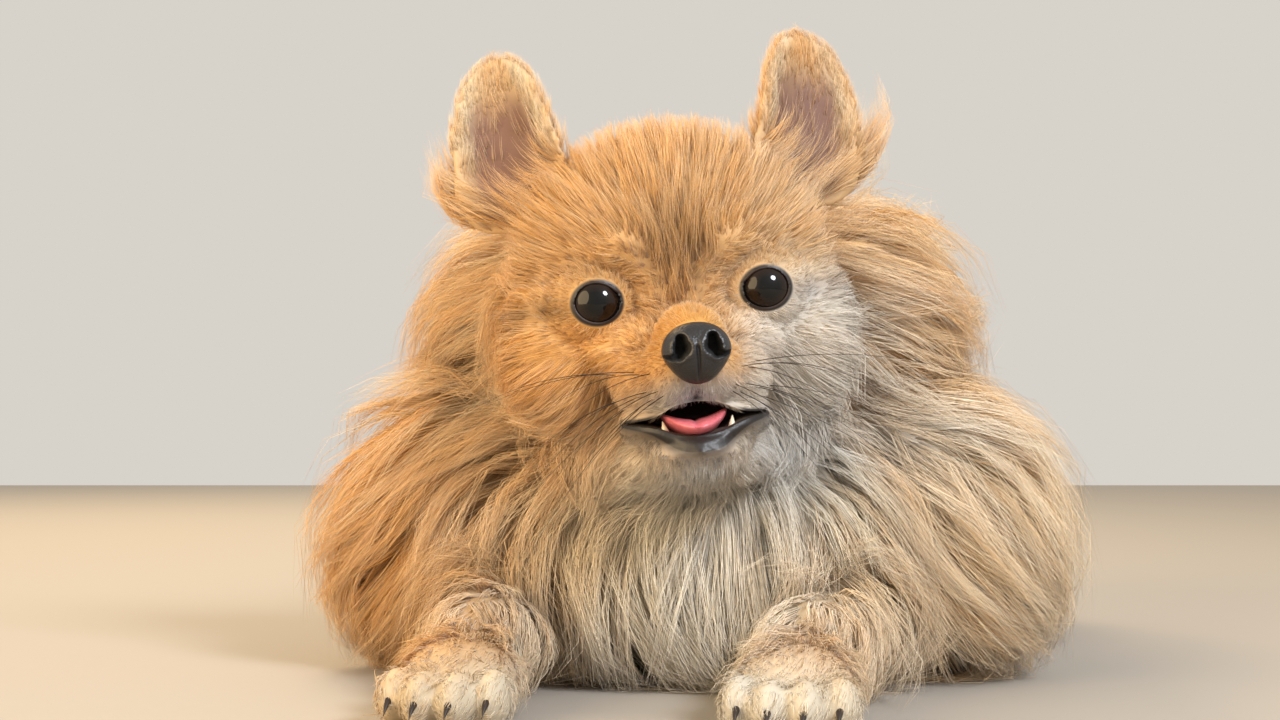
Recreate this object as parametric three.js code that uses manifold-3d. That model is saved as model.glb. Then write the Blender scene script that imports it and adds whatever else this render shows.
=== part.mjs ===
// A small spitz dog with a long standing coat, lying on its chest with its forelegs stretched out,
// its head up and its plumed tail over its back. Life size, in millimetres, +Z up.
// The dog faces -Y, so its left side is +X. The floor is z = 0.
//
// Each piece of flesh is made of named volumes, and one smooth skin, at the tips of the coat, wraps
// them all. A piece is what its own claim, a ball about its volumes or a slab of the body, takes of
// what the earlier claims have left, less a thin gap.

import * as THREE from 'three';
import { mergeVertices } from 'three/addons/utils/BufferGeometryUtils.js';
import Module from 'manifold-3d';

const wasm = await Module();
wasm.setup();

// Driving dimensions.
const eyeSpacing = 48.6;
const eyeRadius = 8.6;
const eyeHeight = 117; // of the point midway between the eyes, above the floor
const headTurn = { roll: -5.3, yaw: 3.2, pitch: 2 }; // degrees
const bodyYaw = -10; // the rump lies to the dog's left of its head
const shoulderBehindEyes = 62;
const pawSpacing = 92;
const gap = 0.35; // between neighbouring pieces
const coatBlend = 16; // width of the fillets between the body's volumes
const faceBlend = 8; // between those of the face
const toeBlend = 3.5; // and between the toes
const cuts = { ruff: 46, trunk: 128, loin: 186 }; // distances of the cuts across the body
const ruffFloor = { height: 84, slope: 12 }; // the cut between the ruff and the chest

const coatOrange = 0xd99a55;
const coatCream = 0xe4c9a0;
const coatPale = 0xeadcc4;
const leatherBlack = 0x24211f;
const hornDark = 0x3a3431;
const enamel = 0xe9e0cd;
const tonguePink = 0xc9616a;
const eyeBrown = 0x1d120c;

const radians = THREE.MathUtils.degToRad;
const sides = [['left', 1], ['right', -1]];

// The frames that the volumes are placed in: the head's, midway between the eyes, and the body's,
// on the floor between the shoulders.
const dog = new THREE.Group();
const headFrame = new THREE.Group();
headFrame.position.set(-1.1, 0, eyeHeight);
headFrame.rotation.set(radians(headTurn.pitch), radians(headTurn.roll), radians(headTurn.yaw), 'ZXY');
const bodyFrame = new THREE.Group();
bodyFrame.position.set(0, shoulderBehindEyes, 0);
bodyFrame.rotation.z = radians(bodyYaw);
dog.add(headFrame, bodyFrame);
dog.updateMatrixWorld(true);

// A volume is an ellipsoid: its centre and radii in its frame, and its turn in degrees.
function volume(centre, radii, turn = [0, 0, 0]) {
  return { centre, radii, turn };
}

function mirrored(s, centre, radii, [x, y, z] = [0, 0, 0]) {
  return volume([s * centre[0], centre[1], centre[2]], radii, [x, s * y, s * z]);
}

function placed(frame, { centre, radii, turn }) {
  const matrix = new THREE.Matrix4().makeRotationFromEuler(new THREE.Euler(...turn.map(radians)));
  matrix.setPosition(...centre).premultiply(frame.matrixWorld);
  return {
    centre: new THREE.Vector3().setFromMatrixPosition(matrix),
    inward: matrix.clone().invert(),
    radii: new THREE.Vector3(...radii),
  };
}

const flesh = []; // the smaller pieces come first, as they take their share first

function grow(name, frame, look, parts, claim) {
  const volumes = parts.map((v) => placed(frame, v));
  const { detail, colour, softness = coatBlend, barrel = false } = look;
  const heart = volumes[0].centre;
  flesh.push({ name, frame, parts, volumes, detail, colour, softness, barrel, claim, heart });
}

// Claims. Each returns a solid, grown by the gap where it is taken away from a later piece.
const ball = (centre, radii, turn = [0, 0, 0], detail = 1) => ({ frame }, extra) => (
  ellipsoid(frame, centre, radii.map((r) => r + extra), turn, detail));

const around = (margin) => ({ frame, parts: [first] }, extra) => (
  ellipsoid(frame, first.centre, first.radii.map((r) => r + margin + extra), first.turn, 1));

const slab = (from, to, bottom, slope = 0) => ({ frame }, extra) => {
  const box = new THREE.BoxGeometry(600, to - from + 2 * extra, 600);
  box.translate(0, (from + to) / 2, 300 - extra);
  box.rotateX(radians(slope)).translate(0, 0, bottom);
  return solid(inFrame(frame, box, [0, 0, 0]));
};

const boxed = (low, high) => ({ frame }, extra) => {
  const size = low.map((v, k) => high[k] - v + 2 * extra);
  const middle = low.map((v, k) => (v + high[k]) / 2);
  return solid(inFrame(frame, new THREE.BoxGeometry(...size), middle));
};

function growFeet() {
  const foreLook = { detail: 3, colour: coatPale, softness: toeBlend };
  const hindLook = { detail: 2, colour: coatPale, softness: toeBlend };
  for (const [side, s] of sides) {
    const paw = s * pawSpacing / 2;
    const toes = [-13.2, -4.6, 4.6, 13.2].map((across) => {
      const ahead = Math.abs(across) > 9 ? -112 : -118;
      return volume([paw + across, ahead, 8], [6.2, 11.5, 9.5]);
    });
    const wrist = volume([paw, -97, 11], [18.5, 21, 14.5]);
    grow('fore_paw_' + side, bodyFrame, foreLook, [wrist, ...toes],
      boxed([paw - 30, -160, -30], [paw + 30, -86, 60]));
  }
  for (const [side, s] of sides) {
    const hindPaw = s * 84;
    const hindToes = [-10.5, -3.6, 3.6, 10.5].map((across) => volume([hindPaw + across, 110, 7], [5.2, 11, 8]));
    grow('hind_paw_' + side, bodyFrame, hindLook, [volume([hindPaw, 128, 10], [16, 24, 13]), ...hindToes],
      boxed([hindPaw - 19, 80, -30], [hindPaw + 60, 136, 24]));
  }
}

function growLegs() {
  const look = { detail: 2, colour: coatOrange, softness: faceBlend };
  for (const [side, s] of sides) {
    grow('forearm_' + side, bodyFrame, { ...look, detail: 3 }, [
      mirrored(s, [49, -52, 18], [19, 44, 20], [0, 0, -4]),
      mirrored(s, [56, -4, 20], [24, 44, 24], [0, 0, -4]),
    ], ball([s * 50, -48, 18], [23, 50, 25], [0, 0, -4 * s]));
    grow('shank_' + side, bodyFrame, look, [
      mirrored(s, [83, 186, 16], [21, 52, 21]),
    ], around(7));
  }
  for (const [side, s] of sides) {
    grow('upper_arm_' + side, bodyFrame, { detail: 3, colour: coatOrange, barrel: true }, [
      mirrored(s, [80, 48, 46], [42, 44, 62], [0, -6, 0]),
    ], around(8));
    grow('thigh_' + side, bodyFrame, { detail: 3, colour: coatOrange, barrel: true }, [
      mirrored(s, [66, 188, 48], [38, 58, 54]),
    ], around(8));
  }
}

function growFace() {
  grow('muzzle', headFrame, { detail: 3, colour: coatPale, softness: faceBlend }, [
    volume([0, -14, -14], [12, 23, 12], [-7, 0, 0]),
    volume([6.5, -18, -21], [9.8, 15, 10.5]),
    volume([-6.5, -18, -21], [9.8, 15, 10.5]),
  ], ball([0, -20, -15], [21.5, 27, 19.5], [0, 0, 0], 2));
  grow('lower_jaw', headFrame, { detail: 3, colour: coatPale, softness: faceBlend }, [
    volume([0, -9, -46], [15, 18, 9.5]),
    volume([0, 6, -47], [23, 22, 12]),
  ], ball([0, -6, -50], [25, 27, 15.5], [0, 0, 0], 2));
  grow('head', headFrame, { detail: 5, colour: coatOrange, softness: faceBlend }, [
    volume([0, 33, 8], [53, 42, 50]),
    volume([21, 40, 21], [29, 28, 30]),
    volume([-21, 40, 21], [29, 28, 30]),
    volume([33, 22, -12], [25, 26, 31]),
    volume([-33, 22, -12], [25, 26, 31]),
    volume([16, 12, 15], [17, 16, 16]),
    volume([-16, 12, 15], [17, 16, 16]),
  ], ball([0, 33, 4], [70, 55, 69], [0, 0, 0], 2));
}

function growTail() {
  const look = { detail: 2, colour: coatCream };
  grow('tail_root', bodyFrame, look, [volume([4, 226, 112], [34, 34, 36], [35, 0, 0])], around(8));
  grow('tail_middle', bodyFrame, look, [volume([24, 184, 140], [46, 46, 36], [12, 0, 0])], around(8));
  grow('tail_tip', bodyFrame, look, [volume([50, 130, 130], [42, 50, 42], [-6, 10, 0])], around(8));
}

function growBody() {
  const look = { detail: 3, colour: coatOrange, barrel: true };
  grow('neck', bodyFrame, look, [
    volume([0, 8, 98], [92, 48, 62]),
    volume([50, 22, 110], [48, 46, 54]),
    volume([-50, 22, 110], [48, 46, 54]),
    volume([0, 34, 112], [56, 44, 50]),
  ], slab(-300, cuts.ruff, ruffFloor.height, ruffFloor.slope));
  grow('chest', bodyFrame, { ...look, detail: 4, colour: coatCream }, [
    volume([0, -4, 42], [96, 58, 62]),
    volume([60, 14, 46], [70, 52, 70]),
    volume([-60, 14, 46], [70, 52, 70]),
  ], slab(-300, cuts.ruff, -200));
  grow('rump', bodyFrame, look, [
    volume([0, 206, 62], [86, 56, 70]),
  ], slab(cuts.loin, 500, -200));
  grow('loin', bodyFrame, look, [
    volume([0, 150, 66], [88, 60, 76]),
  ], slab(cuts.trunk, cuts.loin, -200));
  grow('trunk', bodyFrame, look, [
    volume([0, 92, 72], [96, 72, 80]),
  ], slab(cuts.ruff - 60, cuts.trunk, -200));
}

growFeet();
growLegs();
growFace();
growTail();
growBody();

// How far a point lies outside an ellipsoid, to first order. It is negative inside.
const inner = new THREE.Vector3();
const slope = new THREE.Vector3();

function outside(point, { inward, radii }) {
  inner.copy(point).applyMatrix4(inward).divide(radii);
  slope.copy(inner).divide(radii);
  const reach = inner.length();
  return reach < 1e-6 ? -Math.min(radii.x, radii.y, radii.z) : reach * (reach - 1) / slope.length();
}

// The nearest of several surfaces, with a fillet where two of them are about as near.
function blended(distances, softness) {
  return distances.reduce((least, d) => {
    const near = Math.max(softness - Math.abs(least - d), 0);
    return Math.min(least, d) - near * near / (4 * softness);
  });
}

// How far a point lies outside the coat. That of the barrel of the body leaves out what stands out.
function outsideCoat(point, barrel) {
  const pieces = barrel ? flesh.filter((piece) => piece.barrel) : flesh;
  const coats = pieces.map(({ volumes, softness }) => blended(volumes.map((v) => outside(point, v)), softness));
  return blended(coats, coatBlend);
}

// A ball about a piece's heart, whose points run out to the coat's surface.
function cast({ volumes, heart, detail, barrel }) {
  const ball = new THREE.IcosahedronGeometry(1, detail);
  ball.deleteAttribute('normal');
  ball.deleteAttribute('uv');
  const geometry = mergeVertices(ball, 1e-4);
  const points = geometry.getAttribute('position');
  const turn = volumes[0].inward.clone().invert().setPosition(0, 0, 0);
  const way = new THREE.Vector3();
  const point = new THREE.Vector3();
  const stride = 4;
  for (let i = 0; i < points.count; i += 1) {
    way.fromBufferAttribute(points, i).multiply(volumes[0].radii).applyMatrix4(turn).normalize();
    let near = 0;
    let far = stride;
    while (outsideCoat(point.copy(heart).addScaledVector(way, far), barrel) < 0) {
      near = far;
      far += stride;
    }
    for (let step = 0; step < 11; step += 1) {
      const middle = (near + far) / 2;
      if (outsideCoat(point.copy(heart).addScaledVector(way, middle), barrel) < 0) near = middle;
      else far = middle;
    }
    point.copy(heart).addScaledVector(way, near);
    points.setXYZ(i, point.x, point.y, point.z);
  }
  return solid(geometry);
}

function solid(geometry) {
  const bare = geometry.clone();
  bare.deleteAttribute('normal');
  bare.deleteAttribute('uv');
  const merged = mergeVertices(bare, 1e-4);
  return new wasm.Manifold(new wasm.Mesh({
    numProp: 3,
    vertProperties: merged.getAttribute('position').array,
    triVerts: new Uint32Array(merged.index.array),
  }));
}

// Slivers that a cut leaves loose are dropped.
function mainBody(made) {
  return made.decompose().sort((a, b) => b.volume() - a.volume())[0];
}

function surfaceOf(made) {
  const mesh = made.getMesh();
  return new THREE.BufferGeometry()
    .setAttribute('position', new THREE.BufferAttribute(mesh.vertProperties, 3))
    .setIndex(new THREE.BufferAttribute(mesh.triVerts, 1));
}

// Adds a solid given in world places to its frame, as a mesh whose position is the solid's middle.
function attach(name, frame, made, colour, roughness = 0.9) {
  const geometry = surfaceOf(made).applyMatrix4(frame.matrixWorld.clone().invert());
  geometry.computeBoundingBox();
  const middle = geometry.boundingBox.getCenter(new THREE.Vector3());
  geometry.translate(-middle.x, -middle.y, -middle.z);
  const flat = geometry.toNonIndexed();
  flat.computeVertexNormals();
  const material = new THREE.MeshStandardMaterial({ color: colour, roughness, metalness: 0 });
  const mesh = new THREE.Mesh(flat, material);
  mesh.name = name;
  mesh.position.copy(middle);
  frame.add(mesh);
}

function inFrame(frame, geometry, centre, turn = [0, 0, 0]) {
  const matrix = new THREE.Matrix4().makeRotationFromEuler(new THREE.Euler(...turn.map(radians)));
  return geometry.applyMatrix4(matrix.setPosition(...centre).premultiply(frame.matrixWorld));
}

function ellipsoid(frame, centre, radii, turn, detail = 2) {
  const ball = new THREE.IcosahedronGeometry(1, detail).scale(...radii);
  return solid(inFrame(frame, ball, centre, turn));
}

// Flesh.
const bodies = new Map();
const floorBlock = solid(new THREE.BoxGeometry(2000, 2000, 200).translate(0, 0, -100));
flesh.forEach((piece, index) => {
  let made = cast(piece).intersect(piece.claim(piece, 0)).subtract(floorBlock);
  for (const earlier of flesh.slice(0, index)) made = made.subtract(earlier.claim(earlier, gap));
  bodies.set(piece.name, mainBody(made));
});

// Eyes, each in a socket that opens forwards.
const eyePlace = (s) => [s * eyeSpacing / 2, 5.2, 0];

function makeEyes() {
  for (const [side, s] of sides) {
    const socket = ellipsoid(headFrame, eyePlace(s), Array(3).fill(eyeRadius + 1.1), [0, 0, 0], 1);
    const opening = ellipsoid(headFrame, [s * eyeSpacing / 2, -4, 0], [7.4, 7.5, 6.8], [0, 0, 0], 1);
    for (const name of ['head', 'muzzle']) {
      bodies.set(name, mainBody(bodies.get(name).subtract(socket).subtract(opening)));
    }
    const eyeball = ellipsoid(headFrame, eyePlace(s), Array(3).fill(eyeRadius), [0, 0, 0], 2);
    attach('eye_' + side, headFrame, eyeball, eyeBrown, 0.05);
  }
}

// The nose leather: a rounded pad, wider above, with two nostrils and a groove between them.
function makeNose() {
  const pad = new THREE.SphereGeometry(1, 12, 8).rotateX(Math.PI / 2);
  const points = pad.getAttribute('position');
  for (let i = 0; i < points.count; i += 1) {
    const [x, y, z] = [points.getX(i), points.getY(i), points.getZ(i)];
    const width = z > 0 ? 9.6 : 9.6 - 3.4 * z * z;
    points.setXYZ(i, x * width, y * 7.2, z * (z > 0 ? 7 : 9.4));
  }
  const place = [0, -34.5, -15.5];
  let nose = solid(inFrame(headFrame, pad, place));
  for (const [, s] of sides) {
    nose = nose.subtract(ellipsoid(headFrame, [s * 4.6, -40.2, -15.6], [1.9, 3.2, 2.5], [0, s * 24, 0], 1));
  }
  const groove = new THREE.BoxGeometry(0.8, 2.4, 12);
  nose = nose.subtract(solid(inFrame(headFrame, groove, [0, -41.6, -21])));
  const cover = inFrame(headFrame, new THREE.SphereGeometry(1, 8, 6).scale(10.2, 7.8, 9.6), place);
  bodies.set('muzzle', mainBody(bodies.get('muzzle').subtract(solid(cover)).subtract(nose)));
  attach('nose', headFrame, nose, leatherBlack, 0.45);
}

// The parted mouth, with the tongue behind the lower teeth.
function makeMouth() {
  const parting = ellipsoid(headFrame, [0, -15, -35.2], [21, 20, 5.2], [-4, 0, 0], 1);
  for (const name of ['muzzle', 'lower_jaw', 'head']) {
    bodies.set(name, mainBody(bodies.get(name).subtract(parting)));
  }
  const tongue = ellipsoid(headFrame, [0, -13.5, -38], [9.2, 15.5, 2.4], [-3, 0, 0], 1);
  const arch = new THREE.EllipseCurve(0, 0, 10.6, 10.6, radians(200), radians(340));
  const path = new THREE.CatmullRomCurve3(arch.getPoints(14).map((p) => new THREE.Vector3(p.x, p.y * 1.25 - 14.6, -40)));
  const section = new THREE.Shape().absarc(0, 0, 1.3, 0, 2 * Math.PI);
  const gum = new THREE.ExtrudeGeometry(section, { steps: 6, curveSegments: 2, extrudePath: path });
  let teeth = solid(inFrame(headFrame, gum, [0, 0, 0]));
  const rootWidth = { canine: 1.5, incisor: 0.9 };
  for (const x of [-8.2, -3.6, -2.2, -0.8, 0.8, 2.2, 3.6, 8.2]) {
    const canine = Math.abs(x) > 5;
    const height = canine ? 6 : 2.8;
    const tooth = new THREE.ConeGeometry(canine ? rootWidth.canine : rootWidth.incisor, height, 5).rotateX(Math.PI / 2);
    const along = -14.6 - 1.25 * Math.sqrt(10.6 ** 2 - x ** 2);
    teeth = teeth.add(solid(inFrame(headFrame, tooth, [x, along, -39.6 + height / 2])));
  }
  const cut = ellipsoid(headFrame, [0, -13.5, -38], [9.2 + gap, 15.5 + gap, 2.4 + gap], [-3, 0, 0], 1);
  teeth = mainBody(teeth.subtract(cut).subtract(bodies.get('muzzle')));
  const wrap = new THREE.ExtrudeGeometry(new THREE.Shape().absarc(0, 0, 1.3 + gap, 0, 2 * Math.PI), { steps: 6, curveSegments: 2, extrudePath: path });
  let jaw = bodies.get('lower_jaw').subtract(cut).subtract(solid(inFrame(headFrame, wrap, [0, 0, 0])));
  jaw = mainBody(jaw.subtract(teeth));
  bodies.set('lower_jaw', jaw);
  bodies.set('head', mainBody(bodies.get('head').subtract(cut)));
  bodies.set('muzzle', mainBody(bodies.get('muzzle').subtract(cut)));
  attach('tongue', headFrame, tongue, tonguePink, 0.4);
  attach('teeth', headFrame, teeth, enamel, 0.3);
}

// An ear: a wide leaf with a round tip, cupped so that its edges stand forwards, its foot in the head.
function earLeaf(s, extra) {
  const halfHeight = 30;
  const halfWidth = 20;
  const thickness = 3.4;
  const cup = 8;
  const leaf = new THREE.SphereGeometry(1, 12, 9).rotateX(Math.PI / 2);
  const points = leaf.getAttribute('position');
  for (let i = 0; i < points.count; i += 1) {
    const [x, y, z] = [points.getX(i), points.getY(i), points.getZ(i)];
    const width = (halfWidth + extra) * (1 - 0.3 * z) * Math.sqrt(1 + 0.8 * z * z);
    points.setXYZ(i, x * width, y * (thickness + extra) - cup * x * x, z * (halfHeight + extra));
  }
  return solid(inFrame(headFrame, leaf, [s * 44.5, 46, 51], [-10, s * 6, s * 24]));
}

function makeEars() {
  for (const [side, s] of sides) {
    for (const name of ['head', 'neck']) bodies.set(name, mainBody(bodies.get(name).subtract(earLeaf(s, 2 * gap))));
    attach('ear_' + side, headFrame, earLeaf(s, 0), coatOrange);
  }
}

// Claws, bent down over the tips of the toes.
function makeClaws() {
  const fore = { name: 'fore', spacing: pawSpacing / 2, across: [-13.2, -4.6, 4.6, 13.2], height: 7 };
  const hind = { name: 'hind', spacing: 84, across: [-10.5, -3.6, 3.6, 10.5], height: 6 };
  fore.ahead = (x) => (Math.abs(x) > 9 ? -122 : -128);
  hind.ahead = () => 100.5;
  for (const foot of [fore, hind]) {
    for (const [side, s] of sides) {
      const paw = foot.name + '_paw_' + side;
      foot.across.forEach((across, number) => {
        const horn = new THREE.ConeGeometry(1.5, 9, 6).rotateX(Math.PI / 2 + radians(24));
        const place = [s * foot.spacing + across, foot.ahead(across), foot.height];
        const hole = new THREE.ConeGeometry(1.5 + gap, 9 + gap, 6).rotateX(Math.PI / 2 + radians(24));
        bodies.set(paw, mainBody(bodies.get(paw).subtract(solid(inFrame(bodyFrame, hole, place)))));
        const claw = solid(inFrame(bodyFrame, horn, place));
        attach(`claw_${foot.name}_${side}_${number + 1}`, bodyFrame, claw, hornDark, 0.4);
      });
    }
  }
}

makeEyes();
makeNose();
makeMouth();
makeEars();
makeClaws();
for (const { name, frame, colour } of flesh) attach(name, frame, bodies.get(name), colour);

// The origin is on the floor, under the middle of the whole.
dog.updateMatrixWorld(true);
const bounds = new THREE.Box3().setFromObject(dog, true);
const middle = bounds.getCenter(new THREE.Vector3());
dog.position.set(-middle.x, -middle.y, 0);

export default dog;
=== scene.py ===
import math
import time

import bpy
import numpy as np
from mathutils import Matrix, Vector
from mathutils.bvhtree import BVHTree
from mathutils.kdtree import KDTree


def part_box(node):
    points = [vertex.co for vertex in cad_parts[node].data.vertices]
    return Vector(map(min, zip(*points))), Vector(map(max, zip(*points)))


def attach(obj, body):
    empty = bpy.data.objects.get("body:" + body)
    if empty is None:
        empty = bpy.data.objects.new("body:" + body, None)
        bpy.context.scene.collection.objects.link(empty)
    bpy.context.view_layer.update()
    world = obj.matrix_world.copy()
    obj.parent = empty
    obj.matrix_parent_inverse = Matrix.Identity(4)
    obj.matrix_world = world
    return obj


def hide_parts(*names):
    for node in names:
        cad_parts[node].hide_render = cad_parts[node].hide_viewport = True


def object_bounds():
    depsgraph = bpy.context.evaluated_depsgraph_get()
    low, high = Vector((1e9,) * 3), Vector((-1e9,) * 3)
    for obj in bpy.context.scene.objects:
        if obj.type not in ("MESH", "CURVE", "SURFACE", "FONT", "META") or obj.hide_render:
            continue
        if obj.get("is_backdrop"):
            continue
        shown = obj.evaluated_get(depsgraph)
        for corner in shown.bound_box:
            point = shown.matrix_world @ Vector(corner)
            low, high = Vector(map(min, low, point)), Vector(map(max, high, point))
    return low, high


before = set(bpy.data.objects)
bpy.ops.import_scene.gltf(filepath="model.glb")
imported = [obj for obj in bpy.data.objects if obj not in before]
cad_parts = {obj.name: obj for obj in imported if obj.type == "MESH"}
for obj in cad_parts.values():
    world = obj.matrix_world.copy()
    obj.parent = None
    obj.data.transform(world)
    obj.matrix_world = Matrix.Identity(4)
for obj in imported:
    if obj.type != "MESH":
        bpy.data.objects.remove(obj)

# A pomeranian lying on its chest, life size. Lengths in the settings are millimetres.
# The dog faces -Y and +X is its left, as in the CAD.

startTime = time.time()
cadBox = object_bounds()
mm = 0.001
dice = np.random.default_rng(7)


def report(stage):
    print(f"{stage}: {time.time() - startTime:.1f} s")


def rotation(x, y, z):
    return (Matrix.Rotation(math.radians(x), 3, "X") @ Matrix.Rotation(math.radians(y), 3, "Y")
            @ Matrix.Rotation(math.radians(z), 3, "Z"))


def boxMiddle(node):
    low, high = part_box(node)
    return (low + high) / 2


# back is how far the balls lie behind the head's frame, opening the half width and height between the lids,
# and bulge how far the cornea stands out of the ball.
eyeSettings = {"spacing": 48.6, "back": 5.2, "radius": 8.6, "bulge": 0.35, "opening": (6.6, 5.75),
               "gaze": (4, -2), "rim": 0.36}
# The head's frame lies midway between the eyes, the body's on the floor between the shoulders.
poseSettings = {"headYaw": 3.2, "headNod": 2, "headTilt": -5.3, "bodyYaw": -10,
                "bodyFromHead": (1.1, 62, -117)}
headTurn = (rotation(0, 0, poseSettings["headYaw"]) @ rotation(poseSettings["headNod"], 0, 0)
            @ rotation(0, poseSettings["headTilt"], 0))
bodyTurn = rotation(0, 0, poseSettings["bodyYaw"])
headOrigin = ((boxMiddle("eye_left") + boxMiddle("eye_right")) / 2
              - headTurn @ Vector((0, eyeSettings["back"] * mm, 0)))
bodyOrigin = headOrigin + Vector(poseSettings["bodyFromHead"]) * mm
frames = {"head": (headTurn, headOrigin), "body": (bodyTurn, bodyOrigin)}


def toFrame(frameName, points):
    turn, origin = frames[frameName]
    return (points - np.array(origin)) @ np.array(turn) / mm  # rows are points, so this applies the inverse


def fromFrame(frameName, points):
    turn, origin = frames[frameName]
    return np.asarray(points) * mm @ np.array(turn).T + np.array(origin)


def choose(*pieces):
    if bpy.context.object and bpy.context.object.mode != "OBJECT":
        bpy.ops.object.mode_set(mode="OBJECT")
    bpy.ops.object.select_all(action="DESELECT")
    for piece in pieces:
        piece.select_set(True)
    bpy.context.view_layer.objects.active = pieces[0]


def applyModifier(piece, kind, **settings):
    choose(piece)
    modifier = piece.modifiers.new(kind.title(), kind)
    for name, value in settings.items():
        setattr(modifier, name, value)
    bpy.ops.object.modifier_apply(modifier=modifier.name)


def readAll(items, name, width, kind=np.float32):
    values = np.empty(len(items) * width, kind)
    items.foreach_get(name, values)
    return values.reshape(-1, width)


def vertexPlaces(mesh):
    return readAll(mesh.vertices, "co", 3).astype(float)


def setPlaces(mesh, places):
    mesh.vertices.foreach_set("co", np.asarray(places, np.float32).ravel())
    mesh.update()


def smoothStep(low, high, value):
    t = np.clip((value - low) / (high - low), 0, 1)
    return t * t * (3 - 2 * t)


def bell(value, middle, width):
    return np.exp(-((value - middle) / width) ** 2)


def unit(vectors):
    return vectors / np.maximum(np.linalg.norm(vectors, axis=-1, keepdims=True), 1e-9)


# Camera, at the photograph's angle, a little below the dog's eyes.
cameraSettings = {"fromEyes": (-11.9, -600, -31), "tiltUp": 1.2, "lens": 59.06, "sensor": 36}


def makeCamera():
    bpy.ops.object.camera_add(location=headOrigin + Vector(cameraSettings["fromEyes"]) * mm,
                              rotation=(math.radians(90 + cameraSettings["tiltUp"]), 0, 0))
    camera = bpy.context.object
    camera.data.lens = cameraSettings["lens"]
    camera.data.sensor_width = cameraSettings["sensor"]
    camera.data.clip_start = 0.02
    bpy.context.scene.camera = camera


makeCamera()

# The body's forms. Each row has the frame, the place and the size of an ellipsoid at the tips of the coat, as
# in the CAD, then the coat's depth, its hair's length and zone, 1 where a twin mirrors it, and any turn.
forms = {
    "skull": ("head", (0, 33, 8), (52, 42, 49), 8, 21, "head", 0),
    "crown": ("head", (21, 40, 21), (29, 28, 30), 8, 20, "head", 1),
    "cheek": ("head", (33, 22, -12), (25, 26, 31), 8, 26, "head", 1),
    "mane": ("head", (0, 46, -6), (64, 26, 44), 12, 40, "ruff", 0),
    "brow": ("head", (14, 11, 15), (15, 17, 15), 4, 10, "face", 1),
    "bridge": ("head", (0, -14, -13), (11.5, 23, 11.5), 1.8, 3.6, "muzzle", 0, (-7, 0, 0)),
    "lip": ("head", (6.5, -18, -21), (9.8, 15, 10), 2, 5, "muzzle", 1),
    "flew": ("head", (13.5, -7, -24), (11, 15, 11), 2.5, 7, "muzzle", 1),
    "underEye": ("head", (17, 4, -13), (15, 12, 13), 3, 10, "face", 1),
    "chin": ("head", (0, -9, -46.5), (17, 18, 9), 3.8, 13, "muzzle", 0),
    "mouthFill": ("head", (0, -7, -36), (23, 18, 9), 1, 4, "muzzle", 0),
    "lowerLip": ("head", (0, -11.5, -43.5), (15.5, 16.5, 5.5), 1, 4, "muzzle", 0),
    "jaw": ("head", (0, 8, -47), (27, 24, 12), 5, 20, "head", 0),
    "throat": ("head", (0, 36, -40), (48, 38, 36), 12, 34, "ruff", 0),
    "ruff": ("body", (0, 8, 98), (92, 48, 62), 24, 56, "ruff", 0),
    "ruffSide": ("body", (50, 22, 110), (48, 46, 54), 22, 54, "ruff", 1),
    "nape": ("body", (0, 34, 112), (56, 44, 50), 18, 44, "ruff", 0),
    "chest": ("body", (0, -4, 42), (96, 58, 62), 24, 64, "ruff", 0),
    "chestSide": ("body", (60, 14, 46), (70, 52, 70), 24, 64, "ruff", 1),
    "trunk": ("body", (0, 92, 72), (96, 72, 80), 20, 44, "back", 0),
    "loin": ("body", (0, 150, 66), (88, 60, 76), 18, 42, "back", 0),
    "rump": ("body", (0, 206, 62), (86, 56, 70), 18, 42, "back", 0),
    "upperArm": ("body", (80, 48, 46), (42, 44, 62), 18, 46, "back", 1),
    "thigh": ("body", (66, 188, 48), (38, 58, 54), 16, 40, "back", 1),
    "tailRoot": ("body", (4, 226, 112), (34, 34, 36), 15, 50, "tail", 0, (35, 0, 0)),
    "tailBend": ("body", (14, 208, 126), (34, 34, 30), 15, 56, "tail", 0),
    "tailMiddle": ("body", (24, 184, 140), (46, 46, 36), 18, 62, "tail", 0, (12, 0, 0)),
    "tailFall": ("body", (37, 157, 136), (42, 46, 38), 20, 62, "tail", 0),
    "tailTip": ("body", (50, 130, 130), (42, 50, 42), 20, 60, "tail", 0, (-6, 10, 0)),
    "forearm": ("body", (49, -52, 18), (19, 44, 19), 6.5, 34, "leg", 1, (0, 0, -4)),
    "elbow": ("body", (56, -4, 20), (24, 44, 23), 9, 42, "ruff", 1, (0, 0, -4)),
    "shank": ("body", (83, 186, 16), (21, 52, 20), 5, 18, "leg", 1),
    "forePaw": ("body", (46, -97, 11), (18.5, 21, 14.5), 3, 8, "paw", 1),
    "hindPaw": ("body", (84, 128, 10), (16, 24, 13), 3, 8, "paw", 1),
}
toeSettings = {"fore": {"spacing": 46, "across": (-13.2, -4.6, 4.6, 13.2), "ahead": (-112, -118, -118, -112),
                        "size": (6.4, 11.5, 9.5), "up": 8},
               "hind": {"spacing": 84, "across": (-10.5, -3.6, 3.6, 10.5), "ahead": (110, 110, 110, 110),
                        "size": (5.4, 11, 8), "up": 7}}
for footName, foot in toeSettings.items():
    for across, ahead in zip(foot["across"], foot["ahead"]):
        for side in (1, -1):
            at = (side * foot["spacing"] + across, ahead, foot["up"])
            forms[f"{footName}Toe{at[0]}"] = ("body", at, foot["size"], 1.6, 5.5, "paw", 0)

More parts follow.
